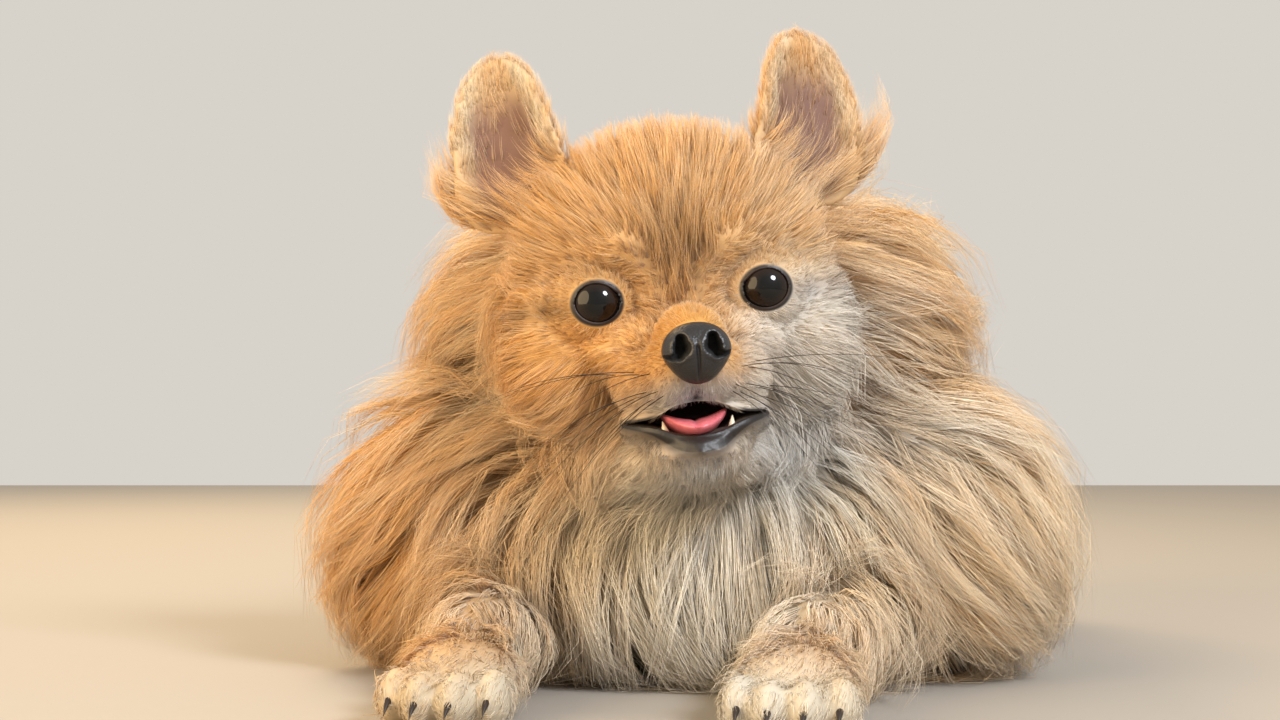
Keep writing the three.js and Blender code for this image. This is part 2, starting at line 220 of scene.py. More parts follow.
# Every form and its twin as the skin has them, the coat's depth inside the form.
shapes = []
for where, at, size, coat, hair, zone, twin, *turn in forms.values():
    a, b, c = turn[0] if turn else (0, 0, 0)
    for side in (1, -1)[:1 + twin]:
        shapes.append({"in": where, "at": np.array(at) * (side, 1, 1),
                       "turn": np.array(rotation(a, side * b, side * c)),
                       "radii": np.maximum(np.array(size, float) - coat, 3),
                       "coat": coat, "hair": hair, "zone": zone})

earSettings = {"halfHeight": 28.5, "halfWidth": 18.2, "thickness": 2.0, "cup": 7.5, "at": (44.5, 46, 51),
               "turn": (-10, 6, 24)}


# Half width of an ear that would be a sphere of radius 1, at a height from -1 to 1.
def earWidth(rise):
    return earSettings["halfWidth"] * (1 - 0.3 * rise) * np.sqrt(1 + 0.8 * rise ** 2)


# The turn and the middle of the ear on one side, in the head's frame.
def earFrame(side):
    a, b, c = earSettings["turn"]
    return np.array(rotation(a, side * b, side * c)), np.array(earSettings["at"]) * (side, 1, 1)


# For each ear: how far points lie across it, behind its hollow side and up it, and its half width there.
def earPlaces(points):
    q = toFrame("head", points)
    for side in (1, -1):
        turn, middle = earFrame(side)
        x, y, z = ((q - middle) @ turn).T
        rise = np.clip(z / earSettings["halfHeight"], -0.995, 0.995)
        yield x, y + earSettings["cup"] * (x / earWidth(rise)) ** 2, z, earWidth(rise) * np.sqrt(1 - rise ** 2)


# How far a point lies from the upper half of the nearer ear.
def earOffset(points):
    least = np.full(len(points), 99.0)
    for across, behind, up, width in earPlaces(points):
        off = np.abs(behind) + np.maximum(np.abs(across) - width, 0)
        least = np.minimum(least, off + np.maximum(2 - up, 0) * 0.8)
    return least


# 1 on the hollow side of the ears, 0 behind them.
def innerEar(points):
    inner = np.zeros(len(points))
    for across, behind, up, width in earPlaces(points):
        rim = smoothStep(0.8, 0.5, np.abs(across) / np.maximum(width, 1)) * smoothStep(21, 8, up)
        rim = rim * smoothStep(-27, -20, up)
        inner = np.maximum(inner, smoothStep(0.2, -0.5, behind) * rim * (np.abs(behind) < 9))
    return inner


def addEar(side):
    bpy.ops.mesh.primitive_uv_sphere_add(segments=48, ring_count=32, radius=1)
    ear = bpy.context.object
    x, y, z = vertexPlaces(ear.data).T
    y = np.sign(y) * np.abs(y) ** 0.5
    leaf = np.stack([x * earWidth(z), y * earSettings["thickness"] - earSettings["cup"] * x * x,
                     z * earSettings["halfHeight"]], 1)
    turn, middle = earFrame(side)
    setPlaces(ear.data, fromFrame("head", leaf @ turn.T + middle))
    return ear


# kept is the share of faces that stay, blending the passes that smooth the trunk's forms into each other, and
# the skin's brightness darkens it as painted shade, so that gaps in the coat read as shadow.
skinSettings = {"voxel": 1.55, "smoothing": 7, "kept": 0.24, "blending": 110, "footing": 0.5,
                "shadedBrightness": 0.64}


def buildSkin():
    pieces = []
    for shape in shapes:
        bpy.ops.mesh.primitive_ico_sphere_add(subdivisions=4, radius=1)
        ball = bpy.context.object
        places = vertexPlaces(ball.data) * shape["radii"] @ shape["turn"].T + shape["at"]
        setPlaces(ball.data, fromFrame(shape["in"], places))
        pieces.append(ball)
    skin = join("skin", *pieces, addEar(1), addEar(-1))
    applyModifier(skin, "REMESH", mode="VOXEL", voxel_size=skinSettings["voxel"] * mm)
    applyModifier(skin, "SMOOTH", factor=0.5, iterations=skinSettings["smoothing"])
    applyModifier(skin, "DECIMATE", ratio=skinSettings["kept"])
    b = toFrame("body", vertexPlaces(skin.data))
    weight = smoothStep(14, 44, b[:, 1]) * smoothStep(20, 42, b[:, 2])
    group = skin.vertex_groups.new(name="trunk")
    for level in range(1, 11):
        group.add(np.flatnonzero(np.round(weight * 10) == level).tolist(), level / 10, "REPLACE")
    applyModifier(skin, "SMOOTH", factor=0.5, iterations=skinSettings["blending"], vertex_group="trunk")
    skin.vertex_groups.clear()
    return skin


def join(name, *pieces):
    choose(*pieces)
    bpy.ops.object.join()
    piece = bpy.context.object
    piece.name = piece.data.name = name
    return piece


skin = buildSkin()
report("skin forms")


# How near each point lies to each form, to first order and in millimetres. It is negative inside.
def formDistances(points):
    distances = []
    for shape in shapes:
        local = (toFrame(shape["in"], points) - shape["at"]) @ shape["turn"] / shape["radii"]
        reach = np.maximum(np.linalg.norm(local, axis=1), 1e-6)
        slope = np.maximum(np.linalg.norm(local / shape["radii"], axis=1), 1e-9)
        distances.append(reach * (reach - 1) / slope)
    return np.stack(distances, 1)


zones = ("muzzle", "face", "head", "ruff", "back", "tail", "leg", "paw")
noseSettings = {"at": (0, -34.5, -15.5)}


# The coat's depth, its hair's length and each zone's share at each point.
def groomAt(points):
    distances = formDistances(points)
    share = np.exp(-(distances - distances.min(1, keepdims=True)) / 4)
    share /= share.sum(1, keepdims=True)
    groom = {key: share @ [shape[key] for shape in shapes] for key in ("coat", "hair")}
    for zone in zones:
        groom[zone] = share @ [float(shape["zone"] == zone) for shape in shapes]
    q = toFrame("head", points)
    x, y, z = q.T
    # the coat round the face is longer and falls over the ruff
    rim = smoothStep(32, 48, np.hypot(x, z - 2)) * smoothStep(38, 22, z) * groom["head"]
    groom["hair"] = groom["hair"] + 18 * rim
    groom["coat"] = groom["coat"] + 2.5 * rim
    ear = groom["ear"] = smoothStep(14, 6, earOffset(points))
    for zone in zones:
        groom[zone] = groom[zone] * (1 - ear)
    for key, value in (("coat", 2.0), ("hair", 8)):
        groom[key] = groom[key] * (1 - ear) + value * ear
    # near the eyes, the nose and the lips it is short, and the head's hair gives way to the face's
    upper, band = mouthLines(x)[::2]
    lip = np.where((y < 12) & (np.abs(x) < 30), np.abs(z - (upper + band) / 2) - (upper - band) / 2, 99)
    nose = np.linalg.norm(q - noseSettings["at"], axis=1) - 9
    for near, hair, coat, zone in ((smoothStep(15, 5, eyeOffset(q)), 3.6, 1.7, "face"),
                                   (smoothStep(12, 1, nose), 3.6, 1.5, None),
                                   (smoothStep(4.5, 0.5, lip), 4.5, 1.0, "muzzle")):
        for key, most in (("hair", hair), ("coat", coat)):
            groom[key] = groom[key] * (1 - near) + np.minimum(groom[key], most) * near
        if zone:
            groom[zone] += groom["head"] * near
            groom["head"] = groom["head"] * (1 - near)
    return groom


# How far a point of the head lies from the edge of the nearer eye's opening, seen from the front.
def eyeOffset(q):
    wide, high = eyeSettings["opening"]
    x = np.abs(q[:, 0]) - eyeSettings["spacing"] / 2
    off = (np.hypot(x / wide, q[:, 2] / high) - 1) * (wide + high) / 2
    return np.where(q[:, 1] < 14, off, 99)


# Heights of the upper lip's edge, the lower lip's edge and the foot of its black band, from the middle to
# the corner of the mouth.
mouthSettings = {"across": (0, 6, 9.5, 13.5, 20, 29),
                 "upper": (-29.4, -29.9, -32.0, -33.6, -34.1, -33.4),
                 "lower": (-39.2, -38.8, -37.2, -35.8, -35.2, -33.6),
                 "band": (-44.0, -43.5, -41.0, -38.0, -36.3, -34.1), "corner": 29, "depth": 20}


def mouthLines(x):
    across = np.sqrt(np.abs(x) ** 2 + 1)
    fine = np.linspace(0, mouthSettings["corner"], 53)
    soften = np.hanning(17) / np.hanning(17).sum()
    lines = []
    for line in ("upper", "lower", "band"):
        drawn = np.interp(fine, mouthSettings["across"], mouthSettings[line])
        drawn = np.convolve(np.pad(drawn, 8, mode="edge"), soften, mode="valid")
        lines.append(np.interp(across, fine, drawn))
    return lines


# The black lips and the mouth's inside, as shares from 0 to 1.
def mouthParts(q):
    x, y, z = q.T
    upper, lower, band = mouthLines(x)
    near = smoothStep(30, 28, np.abs(x)) * smoothStep(15, 10, y)
    lowerLip = smoothStep(lower + 0.9, lower + 0.2, z) * smoothStep(band - 0.7, band + 0.7, z)
    upperLip = (smoothStep(upper - 0.8, upper - 0.2, z) * smoothStep(upper + 0.9, upper + 0.2, z)
                * smoothStep(9, 14, np.abs(x)))
    inside = smoothStep(upper - 0.2, upper - 0.9, z) * smoothStep(lower + 0.2, lower + 0.9, z)
    return np.maximum(lowerLip, upperLip) * near, inside * near


# Halves the edges of the chosen faces, so many times, and smooths them.
def refine(piece, isChosen, times):
    for count in range(times):
        choose(piece)
        bpy.context.tool_settings.mesh_select_mode = (False, False, True)
        bpy.ops.object.mode_set(mode="EDIT")
        bpy.ops.mesh.select_all(action="DESELECT")
        bpy.ops.object.mode_set(mode="OBJECT")
        centres = readAll(piece.data.polygons, "center", 3).astype(float)
        piece.data.polygons.foreach_set("select", isChosen(toFrame("head", centres)))
        bpy.ops.object.mode_set(mode="EDIT")
        bpy.ops.mesh.subdivide(number_cuts=1)
        bpy.ops.mesh.vertices_smooth(factor=0.5, repeat=3)
        bpy.ops.object.mode_set(mode="OBJECT")


def faceDetail(q):
    x, y, z = q.T
    mouth = (np.abs(x) < 33) & (y < 16) & (z < -24) & (z > -49)
    return mouth | (np.hypot(np.abs(x) - eyeSettings["spacing"] / 2, z) < 13) & (y < 12)


# The edges of the lids and lips.
def edgeDetail(q):
    x, y, z = q.T
    lip = np.min([np.abs(z - line) for line in mouthLines(x)], axis=0)
    return (np.abs(eyeOffset(q)) < 1.6) | ((lip < 1.3) & (np.abs(x) < 30) & (y < 15))


# The lids leave the ball at the skirt, a part of its radius, with the slope that it has there.
lidSettings = {"gap": 0.6, "skirt": 0.8, "slope": 0.8 / 0.6, "reach": 13, "furrow": 2.2}


def sculptFace():
    q = toFrame("head", vertexPlaces(skin.data))
    front = q[:, 1] < 16
    # lids lie on the eyeballs, and the skin inside their opening sinks behind the eye
    for side in (1, -1):
        centre = np.array((side * eyeSettings["spacing"] / 2, eyeSettings["back"], 0))
        x, z = (q - centre)[:, 0], (q - centre)[:, 2]
        around = np.hypot(x / eyeSettings["opening"][0], z / eyeSettings["opening"][1])
        outside = front & (around >= 0.98)
        furrow = lidSettings["furrow"] * bell(around, 1.7, 0.5) * smoothStep(0.95, 1.3, around)
        q[outside, 1] += furrow[outside]
        reach = np.hypot(x, z)
        wanted = eyeSettings["radius"] + lidSettings["gap"] + 0.5 * smoothStep(1.0, 1.3, around)
        edge = lidSettings["skirt"] * wanted
        ball = np.sqrt(np.maximum(wanted ** 2 - np.minimum(reach, edge) ** 2, 0))
        cone = np.maximum(reach - edge, 0) * lidSettings["slope"]
        lid = outside & (reach < lidSettings["reach"])
        q[lid, 1] = np.minimum(q[lid, 1], (centre[1] - ball + cone)[lid])
        hole = front & (around < 0.98) & (q[:, 1] - centre[1] < 6)
        q[hole, 1] = np.maximum(q[hole, 1], centre[1] + 1)
    # the stop, a soft valley between the brows
    x, y, z = q.T
    q[:, 1] += front * 2.6 * bell(x, 0, 7) * bell(z, 5, 11)
    # the philtrum and the open mouth, its lower lip a little full
    q[:, 1] += (front & (z < -20) & (z > -34)) * 1.2 * bell(x, 0, 1.2)
    inside = mouthParts(q)[1]
    lower = mouthLines(x)[1]
    q[:, 1] -= 0.9 * front * bell(z, lower - 1.6, 1.4) * smoothStep(22, 12, np.abs(x)) * (y < 0)
    wide = np.sqrt(np.clip(1 - (x / mouthSettings["corner"]) ** 2, 0, 1))
    q[:, 1] += inside * np.minimum(mouthSettings["depth"] * wide, np.maximum(2 - y, 0))
    places = fromFrame("head", q)
    places[:, 2] = np.maximum(places[:, 2], skinSettings["footing"] * mm)
    setPlaces(skin.data, places)
    choose(skin)
    bpy.ops.object.shade_smooth()


refine(skin, faceDetail, 2)
refine(skin, edgeDetail, 1)
sculptFace()
print(f"skin: {len(skin.data.polygons)} faces")
report("skin sculpted")


def unwrap(piece):
    choose(piece)
    bpy.ops.object.mode_set(mode="EDIT")
    bpy.ops.mesh.select_all(action="SELECT")
    bpy.ops.uv.smart_project(angle_limit=math.radians(66), island_margin=0.002)
    bpy.ops.object.mode_set(mode="OBJECT")
    piece.data.uv_layers.active.name = "OFBake"


unwrap(skin)
report("skin unwrapped")


# Markings, with painted light and shade among them. The three numbers are how orange, how dark and how grey
# the coat is.
def markingsAndPaintedLight(points):
    x, y, z = toFrame("head", points).T
    bx, by, bz = toFrame("body", points).T

    # a patch on the head that ends where the coat turns back
    def spot(px, pz, wide, high, ahead=25):
        return bell(x, px, wide) * bell(z, pz, high) * smoothStep(ahead + 12, ahead - 8, y)

    headness = smoothStep(80, 62, y) * smoothStep(-62, -46, z)
    face = headness * smoothStep(48, 34, y)
    chest = smoothStep(60, 10, by)
    throat = smoothStep(30, -10, by)
    orange = 0.66 - 0.16 * smoothStep(80, 40, by) * (1 - headness)
    # the ruff: an orange band down each side, cream in the middle of the chest, pale streaks beside the face
    orange += 0.4 * bell(np.abs(bx), 84, 22) * smoothStep(160, 70, bz) * smoothStep(40, -60, bx)
    # the chest's half on the dog's left and its outer edge there are paler, partly their own tone and partly
    # painted cool light from that side
    orange -= 0.12 * smoothStep(40, 90, bx) * chest
    orange -= 0.55 * bell(bx, 8, 44) * smoothStep(100, 60, bz) * throat
    orange -= 0.4 * bell(bx, -66, 16) * bell(bz, 88, 30) * chest
    orange -= 0.3 * smoothStep(96, 122, bx) * chest
    # the head: warm on the dog's right, paler on its left, where the cheek is cream; part of this is painted
    # light, warm on the dog's right and cool on its left
    orange += face * (0.12 - 0.42 * smoothStep(2, 30, x) * smoothStep(16, -4, z) - 0.1 * smoothStep(10, 40, x))
    orange += 0.16 * spot(-28, -14, 20, 18) - 0.4 * spot(0, -29, 15, 8)
    # the tail's plume and the toes are pale, and the wrists warm
    orange -= 0.34 * smoothStep(112, 138, bz) * smoothStep(90, 130, by)
    orange -= 0.3 * smoothStep(-96, -112, by) * smoothStep(26, 12, bz)
    orange += 0.3 * smoothStep(10, 20, bz) * smoothStep(-74, -86, by)
    dark = 0.06 + 0.5 * spot(0, 10, 8.5, 9, 20) + 0.22 * spot(0, 20, 13, 13, 20)
    dark += 0.35 * spot(0, -27, 4, 3.5, -20)
    for side in (1, -1):
        dark += 0.4 * spot(side * 25, 9.5, 12, 4, 16)  # over the eyes
        # the furrow behind each eye is darkened with painted shade
        dark += 0.55 * spot(side * 40, -1, 14, 3.6, 30)  # the furrow behind each eye
    dark += 0.2 * bell(bx, -44, 16) * bell(bz, 34, 22) * smoothStep(20, -20, by)
    # painted shade: the coat darkens near the floor
    dark += 0.25 * bell(bz, 0, 14)
    grey = 0.95 * spot(0, -28, 12, 6, -8) + 0.4 * spot(0, -50, 11, 5, 10)
    # the cheek on the dog's left is greyer, partly its own pale tone and partly painted cool light from that
    # side
    grey += 0.45 * smoothStep(8, 24, x) * smoothStep(10, -6, z) * face
    grey += 0.4 * bell(bx, 16, 34) * smoothStep(96, 70, bz) * throat
    ear = smoothStep(14, 4, earOffset(points))
    edge = np.zeros(len(points))
    for across, behind, up, width in earPlaces(points):
        ring = bell(np.abs(across) / np.maximum(width, 1), 0.68, 0.2)
        edge = np.maximum(edge, ring * smoothStep(0.5, -1, behind) * (np.abs(behind) < 9))
    orange = orange * (1 - ear) + (0.75 - 0.4 * edge - 0.2 * (x < 0)) * ear
    dark = dark * (1 - ear) + (0.08 + 0.2 * innerEar(points)) * ear
    return np.clip(np.stack([orange, dark, grey * (1 - ear)], 1), 0, 1)


def colour(hexText):
    channels = [int(hexText[i:i + 2], 16) / 255 for i in (1, 3, 5)]
    return tuple(c / 12.92 if c <= 0.04045 else ((c + 0.055) / 1.055) ** 2.4 for c in channels) + (1,)


# Adds a node with its settings and inputs.
def addNode(material, kind, settings=None, **inputs):
    node = material.node_tree.nodes.new(kind)
    for name, value in (settings or {}).items():
        setattr(node, name, value)
    setInputs(material, node, inputs)
    return node


# A value that is a socket is linked, any other is set. _6 stands for input 6.
def setInputs(material, node, inputs):
    for name, value in inputs.items():
        socket = node.inputs[int(name[1:])] if name[1:].isdigit() else node.inputs[name.replace("_", " ")]
        if isinstance(value, bpy.types.NodeSocket):
            material.node_tree.links.new(value, socket)
        else:
            socket.default_value = value


def newMaterial(name, **inputs):
    material = bpy.data.materials.new(name)
    material.use_nodes = True
    setShader(material, **inputs)
    return material


def setShader(material, **inputs):
    setInputs(material, material.node_tree.nodes["Principled BSDF"], inputs)


# mouth is dark red flesh darkened with painted shade inside the open mouth
furColours = {"cream": "#fbedcf", "orange": "#eaae5c", "dark": "#7a5222", "grey": "#d3dae2",
              "lip": "#1c1817", "mouth": "#2a0a0b", "pink": "#6e4f42"}
mixing = {"data_type": "RGBA"}
multiplying = {"data_type": "RGBA", "blend_type": "MULTIPLY"}


# The colour of the coat from its markings and painted light, with hair to hair variation and painted shade in
# the attribute's alpha.
def furColour(material):
    marks = addNode(material, "ShaderNodeAttribute", {"attribute_name": "markingsAndPaintedLight"})
    shares = addNode(material, "ShaderNodeSeparateColor", None, Color=marks.outputs["Color"])
    mixed = colour(furColours["cream"])
    for tone, share in (("orange", "Red"), ("dark", "Green"), ("grey", "Blue")):
        mixed = addNode(material, "ShaderNodeMix", mixing, _0=shares.outputs[share], _6=mixed,
                        _7=colour(furColours[tone])).outputs[2]
    bright = marks.outputs["Alpha"]
    grey = addNode(material, "ShaderNodeCombineColor", None, Red=bright, Green=bright, Blue=bright)
    tone = addNode(material, "ShaderNodeMix", multiplying, _0=1.0, _6=mixed, _7=grey.outputs["Color"])
    return tone.outputs[2]


# Fur: keratin hairs, dull along their length and bright at grazing angles.
def makeFurMaterial():
    material = newMaterial("fur", Roughness=0.7, Specular_IOR_Level=0.15, Sheen_Weight=0.3,
                           Sheen_Roughness=0.5)
    # streaks along each tuft, a third of its width, so that it reads as several hairs
    patch = addNode(material, "ShaderNodeUVMap", {"uv_map": "OFBake"})
    stretched = addNode(material, "ShaderNodeVectorMath", {"operation": "MULTIPLY"}, _0=patch.outputs["UV"],
                        _1=(1600.0, 260.0, 1.0))
    streaks = addNode(material, "ShaderNodeTexNoise", None, Vector=stretched.outputs[0], Scale=1.0, Detail=2.0)
    shade = addNode(material, "ShaderNodeMapRange", None, Value=streaks.outputs[0], From_Min=0.3, From_Max=0.7,
                    To_Min=0.74, To_Max=1.12)
    tinted = addNode(material, "ShaderNodeMix", multiplying, _0=1.0, _6=furColour(material),
                     _7=shade.outputs[0])
    setShader(material, Base_Color=tinted.outputs[2])
    return material


# Skin under the coat: dull, finely creased and tinted as the fur over it, darkened with painted shade so that
# gaps in the coat read as shadow. Its lips are black and half matt, and its mouth is dark red, darkened with
# painted shade.
def makeSkinMaterial():
    material = newMaterial("skin")
    bare = addNode(material, "ShaderNodeAttribute", {"attribute_name": "bare"})
    shares = addNode(material, "ShaderNodeSeparateColor", None, Color=bare.outputs["Color"])
    mixed = furColour(material)
    for tone, share in (("lip", "Red"), ("mouth", "Green"), ("pink", "Blue")):
        mixed = addNode(material, "ShaderNodeMix", mixing, _0=shares.outputs[share], _6=mixed,
                        _7=colour(furColours[tone])).outputs[2]
    rough = addNode(material, "ShaderNodeMapRange", None, Value=shares.outputs["Red"], To_Min=0.7, To_Max=0.45)
    where = addNode(material, "ShaderNodeTexCoord")
    grain = addNode(material, "ShaderNodeTexNoise", None, Vector=where.outputs["Object"], Scale=900.0,
                    Detail=3.0)
    bump = addNode(material, "ShaderNodeBump", None, Height=grain.outputs[0], Strength=0.3, Distance=0.0004)
    setShader(material, Base_Color=mixed, Roughness=rough.outputs[0], Normal=bump.outputs[0])
    return material


fur = makeFurMaterial()


def setColours(mesh, name, values):
    layer = mesh.attributes.new(name, "FLOAT_COLOR", "POINT")
    layer.data.foreach_set("color", np.asarray(values, np.float32).ravel())


# The skin's black parts: the lips, the shadow under the lower one and the edge of the lids.
def blackSkin(q):
    x, y, z = q.T
    lower, band = mouthLines(x)[1:]
    shadow = smoothStep(band - 4, band + 0.5, z) * (z < lower) * (y < 8)
    lips = np.maximum(mouthParts(q)[0], 0.85 * shadow * smoothStep(27, 20, np.abs(x)))
    return np.maximum(lips, smoothStep(1.5, 0.7, eyeOffset(q)))


def paintSkin():
    places = vertexPlaces(skin.data)
    q = toFrame("head", places)
    full = np.ones(len(places))
    # the skin under the coat is painted darker than the fur, as shade, so that gaps between hairs read as
    # shadow
    setColours(skin.data, "markingsAndPaintedLight", np.column_stack([markingsAndPaintedLight(places), full * skinSettings["shadedBrightness"]]))
    setColours(skin.data, "bare", np.column_stack([blackSkin(q), mouthParts(q)[1], innerEar(places), full]))
    skin.data.materials.clear()
    skin.data.materials.append(makeSkinMaterial())


paintSkin()
report("skin painted")

# Guide hairs walk so many steps. Swirls are broad waves that turn the coat a little, each with a direction,
# in radians to the millimetre, and a phase.
guideSettings = {"steps": 8, "wave": 0.055, "swirl": 0.42,
                 "swirls": (((0.05, 0.03, 0.09), 1.0), ((0.11, -0.04, 0.05), 2.6), ((-0.06, 0.08, 0.12), 4.0))}


# The lie of the coat, as a direction for each point.
def lie(points, groom):
    q = toFrame("head", points)
    b = toFrame("body", points)
    x, y, z = q.T
    bx, by, bz = b.T
    still, ones = 0 * bx, np.ones(len(bx))
    # on the head it runs away from the nose, and droops on the cheeks
    head = unit(q - np.array((0, -36, -12)))
    low = smoothStep(4, -24, z)
    head[:, 2] -= 0.5 * low * smoothStep(8, 30, np.abs(x))
    head[:, 0] += 0.5 * np.sign(x) * low * smoothStep(4, 20, np.abs(x))
    # beside the mouth it runs back instead of over the lips
    above = z - mouthLines(x)[0]
    head[:, 2] *= 1 - 0.6 * smoothStep(7, 1, above) * smoothStep(-1, 1, above) * (np.abs(x) < 26)
    # on the ruff it fans out from the face and falls
    fan = np.stack([bx, still, bz - 108], 1)
    fan = unit(fan) * smoothStep(0, 60, np.linalg.norm(fan, axis=1))[:, None]
    ruff = fan * (0.8 + 0.35 * smoothStep(60, 100, np.abs(bx)))[:, None] + np.array((0, -0.25, -0.55))
    ruff[:, 1] += 0.55 * smoothStep(40, 100, np.abs(bx)) + 0.5 * smoothStep(20, 60, by)
    swirl = np.stack([np.sin(b @ way + phase) for way, phase in guideSettings["swirls"]], 1)
    ruff += guideSettings["swirl"] * swirl
    ruff[:, 1] -= 1.1 * smoothStep(-25, -55, by) * smoothStep(55, 32, bz)
    backUp = -0.15 - 0.6 * smoothStep(96, 40, bz) - 1.2 * smoothStep(210, 250, by)
    back = np.stack([0.004 * bx, ones, backUp], 1)
    # the tail's hair leaves its core and runs forward along it
    coreUp = 112 + 28 * smoothStep(236, 190, by) - 14 * smoothStep(170, 110, by)
    tail = unit(b - np.stack([4 + 0.5 * (226 - by), by, coreUp], 1)) * 0.9 + np.array((0.25, -0.75, -0.1))
    # on the legs it parts along their middle
    beside = np.abs(bx) - 49
    leg = np.stack([0.25 * np.sign(bx) * smoothStep(0, 8, np.abs(beside)) * np.sign(beside),
                    np.where(by > 60, -0.6, -1.0), -0.45 * ones], 1)
    paw = np.stack([still, -ones, -0.4 * ones], 1)
    body = (ruff * groom["ruff"][:, None] + unit(back) * groom["back"][:, None] + tail * groom["tail"][:, None]
            + leg * groom["leg"][:, None] + paw * groom["paw"][:, None])
    onHead = (groom["muzzle"] + groom["face"] + groom["head"])[:, None]
    ear = np.array((0, 0.15, 1.0)) * groom["ear"][:, None]
    return unit((unit(head) * onHead + ear) @ np.array(headTurn).T + body @ np.array(bodyTurn).T + 1e-6)


# The skin's triangles, with their unwrap, normals and grooming, to grow hair on.
skin.data.calc_loop_triangles()
skinPlaces = vertexPlaces(skin.data)
skinCorners = readAll(skin.data.loop_triangles, "vertices", 3, np.int32)
skinLoops = readAll(skin.data.loop_triangles, "loops", 3, np.int32)
skinUv = readAll(skin.data.uv_layers["OFBake"].data, "uv", 2)[skinLoops]
skinNormals = readAll(skin.data.vertices, "normal", 3).astype(float)
skinTree = BVHTree.FromPolygons(skinPlaces.tolist(), skinCorners.tolist())
triangles = skinPlaces[skinCorners]
triangleAreas = np.linalg.norm(np.cross(triangles[:, 1] - triangles[:, 0], triangles[:, 2] - triangles[:, 0]),
                               axis=1) / 2
triangleGroom = groomAt(triangles.mean(1))
report("skin groomed")


def nearestOnSkin(points):
    spots = np.empty((len(points), 3))
    normals = np.empty((len(points), 3))
    for i, point in enumerate(points.tolist()):
        spots[i], normal, index, distance = skinTree.find_nearest(point)
        normals[i] = skinNormals[skinCorners[index]].mean(0)
    return spots, unit(normals)


# Roots spread over the skin, so many to a square millimetre of each triangle.
def scatter(density, seed):
    picker = np.random.default_rng(seed)
    count = picker.poisson(triangleAreas / mm ** 2 * density)
    chosen = np.repeat(np.arange(len(count)), count)
    weights = picker.dirichlet((1, 1, 1), len(chosen))[:, :, None]
    roots, normals, uv = ((values[chosen] * weights).sum(1) for values in
                          (triangles, skinNormals[skinCorners], skinUv))
    return roots, unit(normals), uv


# Where hair may root: not on the lips, in the mouth, on the eyes or under the nose leather.
def hairy(points):
    q = toFrame("head", points)
    lips, inside = mouthParts(q)
    keep = (lips < 0.6) & (inside < 0.1) & (eyeOffset(q) > 0.8)
    keep &= innerEar(points) < dice.uniform(0.05, 1.15, len(points))
    pad = (q - noseSettings["at"]) / (9.2, 7.6, 8.2)
    return keep & (np.linalg.norm(pad, axis=1) > 1)


# Guide hairs walk over the skin along the lie of the coat, and rise to the coat's depth.
def growGuides(roots, normals, sway, picker):
    steps = guideSettings["steps"]
    groom = groomAt(roots)
    length = groom["hair"] * picker.uniform(0.85, 1.15, len(roots)) * mm
    depth = groom["coat"] * picker.uniform(0.8, 1.08, len(roots)) * mm
    walk = np.sqrt(np.maximum(length ** 2 - depth ** 2, (0.35 * length) ** 2)) / steps
    spot, normal = roots, normals
    path = [roots - normals * 0.4 * mm]
    swayed = unit(picker.normal(size=(len(roots), 3))) * sway
    for step in range(1, steps + 1):
        way = lie(spot, groomAt(spot) if step % 2 else groom) + swayed
        way = unit(way - normal * (way * normal).sum(1, keepdims=True))
        spot, normal = nearestOnSkin(spot + way * walk[:, None])
        height = depth * (1 - (1 - step / steps) ** 1.7)
        path.append(spot + normal * height[:, None])
    # a soft wave that the whole lock shares
    share = np.linspace(0, 1, steps + 1)[None, :]
    bend = np.sin(share * 7.5 + picker.uniform(0, 6.28, len(roots))[:, None]) * share * (1.4 - share)
    aside = unit(picker.normal(size=(len(roots), 1, 3)))
    return np.stack(path, 1) + aside * (bend * length[:, None])[:, :, None] * guideSettings["wave"]


# Hairs follow their nearest guide and draw together towards its tip.
def growHairs(roots, normals, guides, guideRoots, look, picker):
    tree = KDTree(len(guideRoots))
    for i, root in enumerate(guideRoots.tolist()):
        tree.insert(root, i)
    tree.balance()
    nearest = np.array([tree.find(root)[1] for root in roots.tolist()])
    reach = picker.uniform(look["short"], 1.0, len(roots)) ** 0.8
    share = (np.linspace(0, 1, look["points"])[None, :] * reach[:, None])[:, :, None]
    exact = np.clip(share[:, :, 0] * guideSettings["steps"], 0, guideSettings["steps"] - 1e-6)
    low = exact.astype(int)
    part = (exact - low)[:, :, None]
    path = guides[nearest]
    rows = np.arange(len(roots))[:, None]
    hairs = path[rows, low] * (1 - part) + path[rows, low + 1] * part
    clump = (look["clump"] * picker.uniform(0.6, 1.3, len(roots)))[:, None, None]
    draw = 1 - np.clip(clump, 0, 0.97) * share ** look["drawing"]
    hairs += (roots - guideRoots[nearest])[:, None, :] * draw
    length = np.linalg.norm(path[:, -1] - path[:, 0], axis=1)[:, None, None]
    wild = unit(picker.normal(size=(len(roots), 3)))[:, None, :]
    strayed = np.minimum(picker.exponential(1, len(roots)), 1.9)[:, None, None]
    hairs += wild * length * look["stray"] * share ** 1.5 * strayed
    wave = np.sin(share * look["waves"] * 6.28 + picker.uniform(0, 6.28, len(roots))[:, None, None])
    wild = unit(picker.normal(size=(len(roots), 3)))[:, None, :]
    hairs += wild * (wave * share) * length * look["wavy"]
    hairs[:, 0] = roots - normals * 0.3 * mm
    hairs[:, 1:, 2] = np.maximum(hairs[:, 1:, 2], 0.6 * mm)
    return hairs, nearest


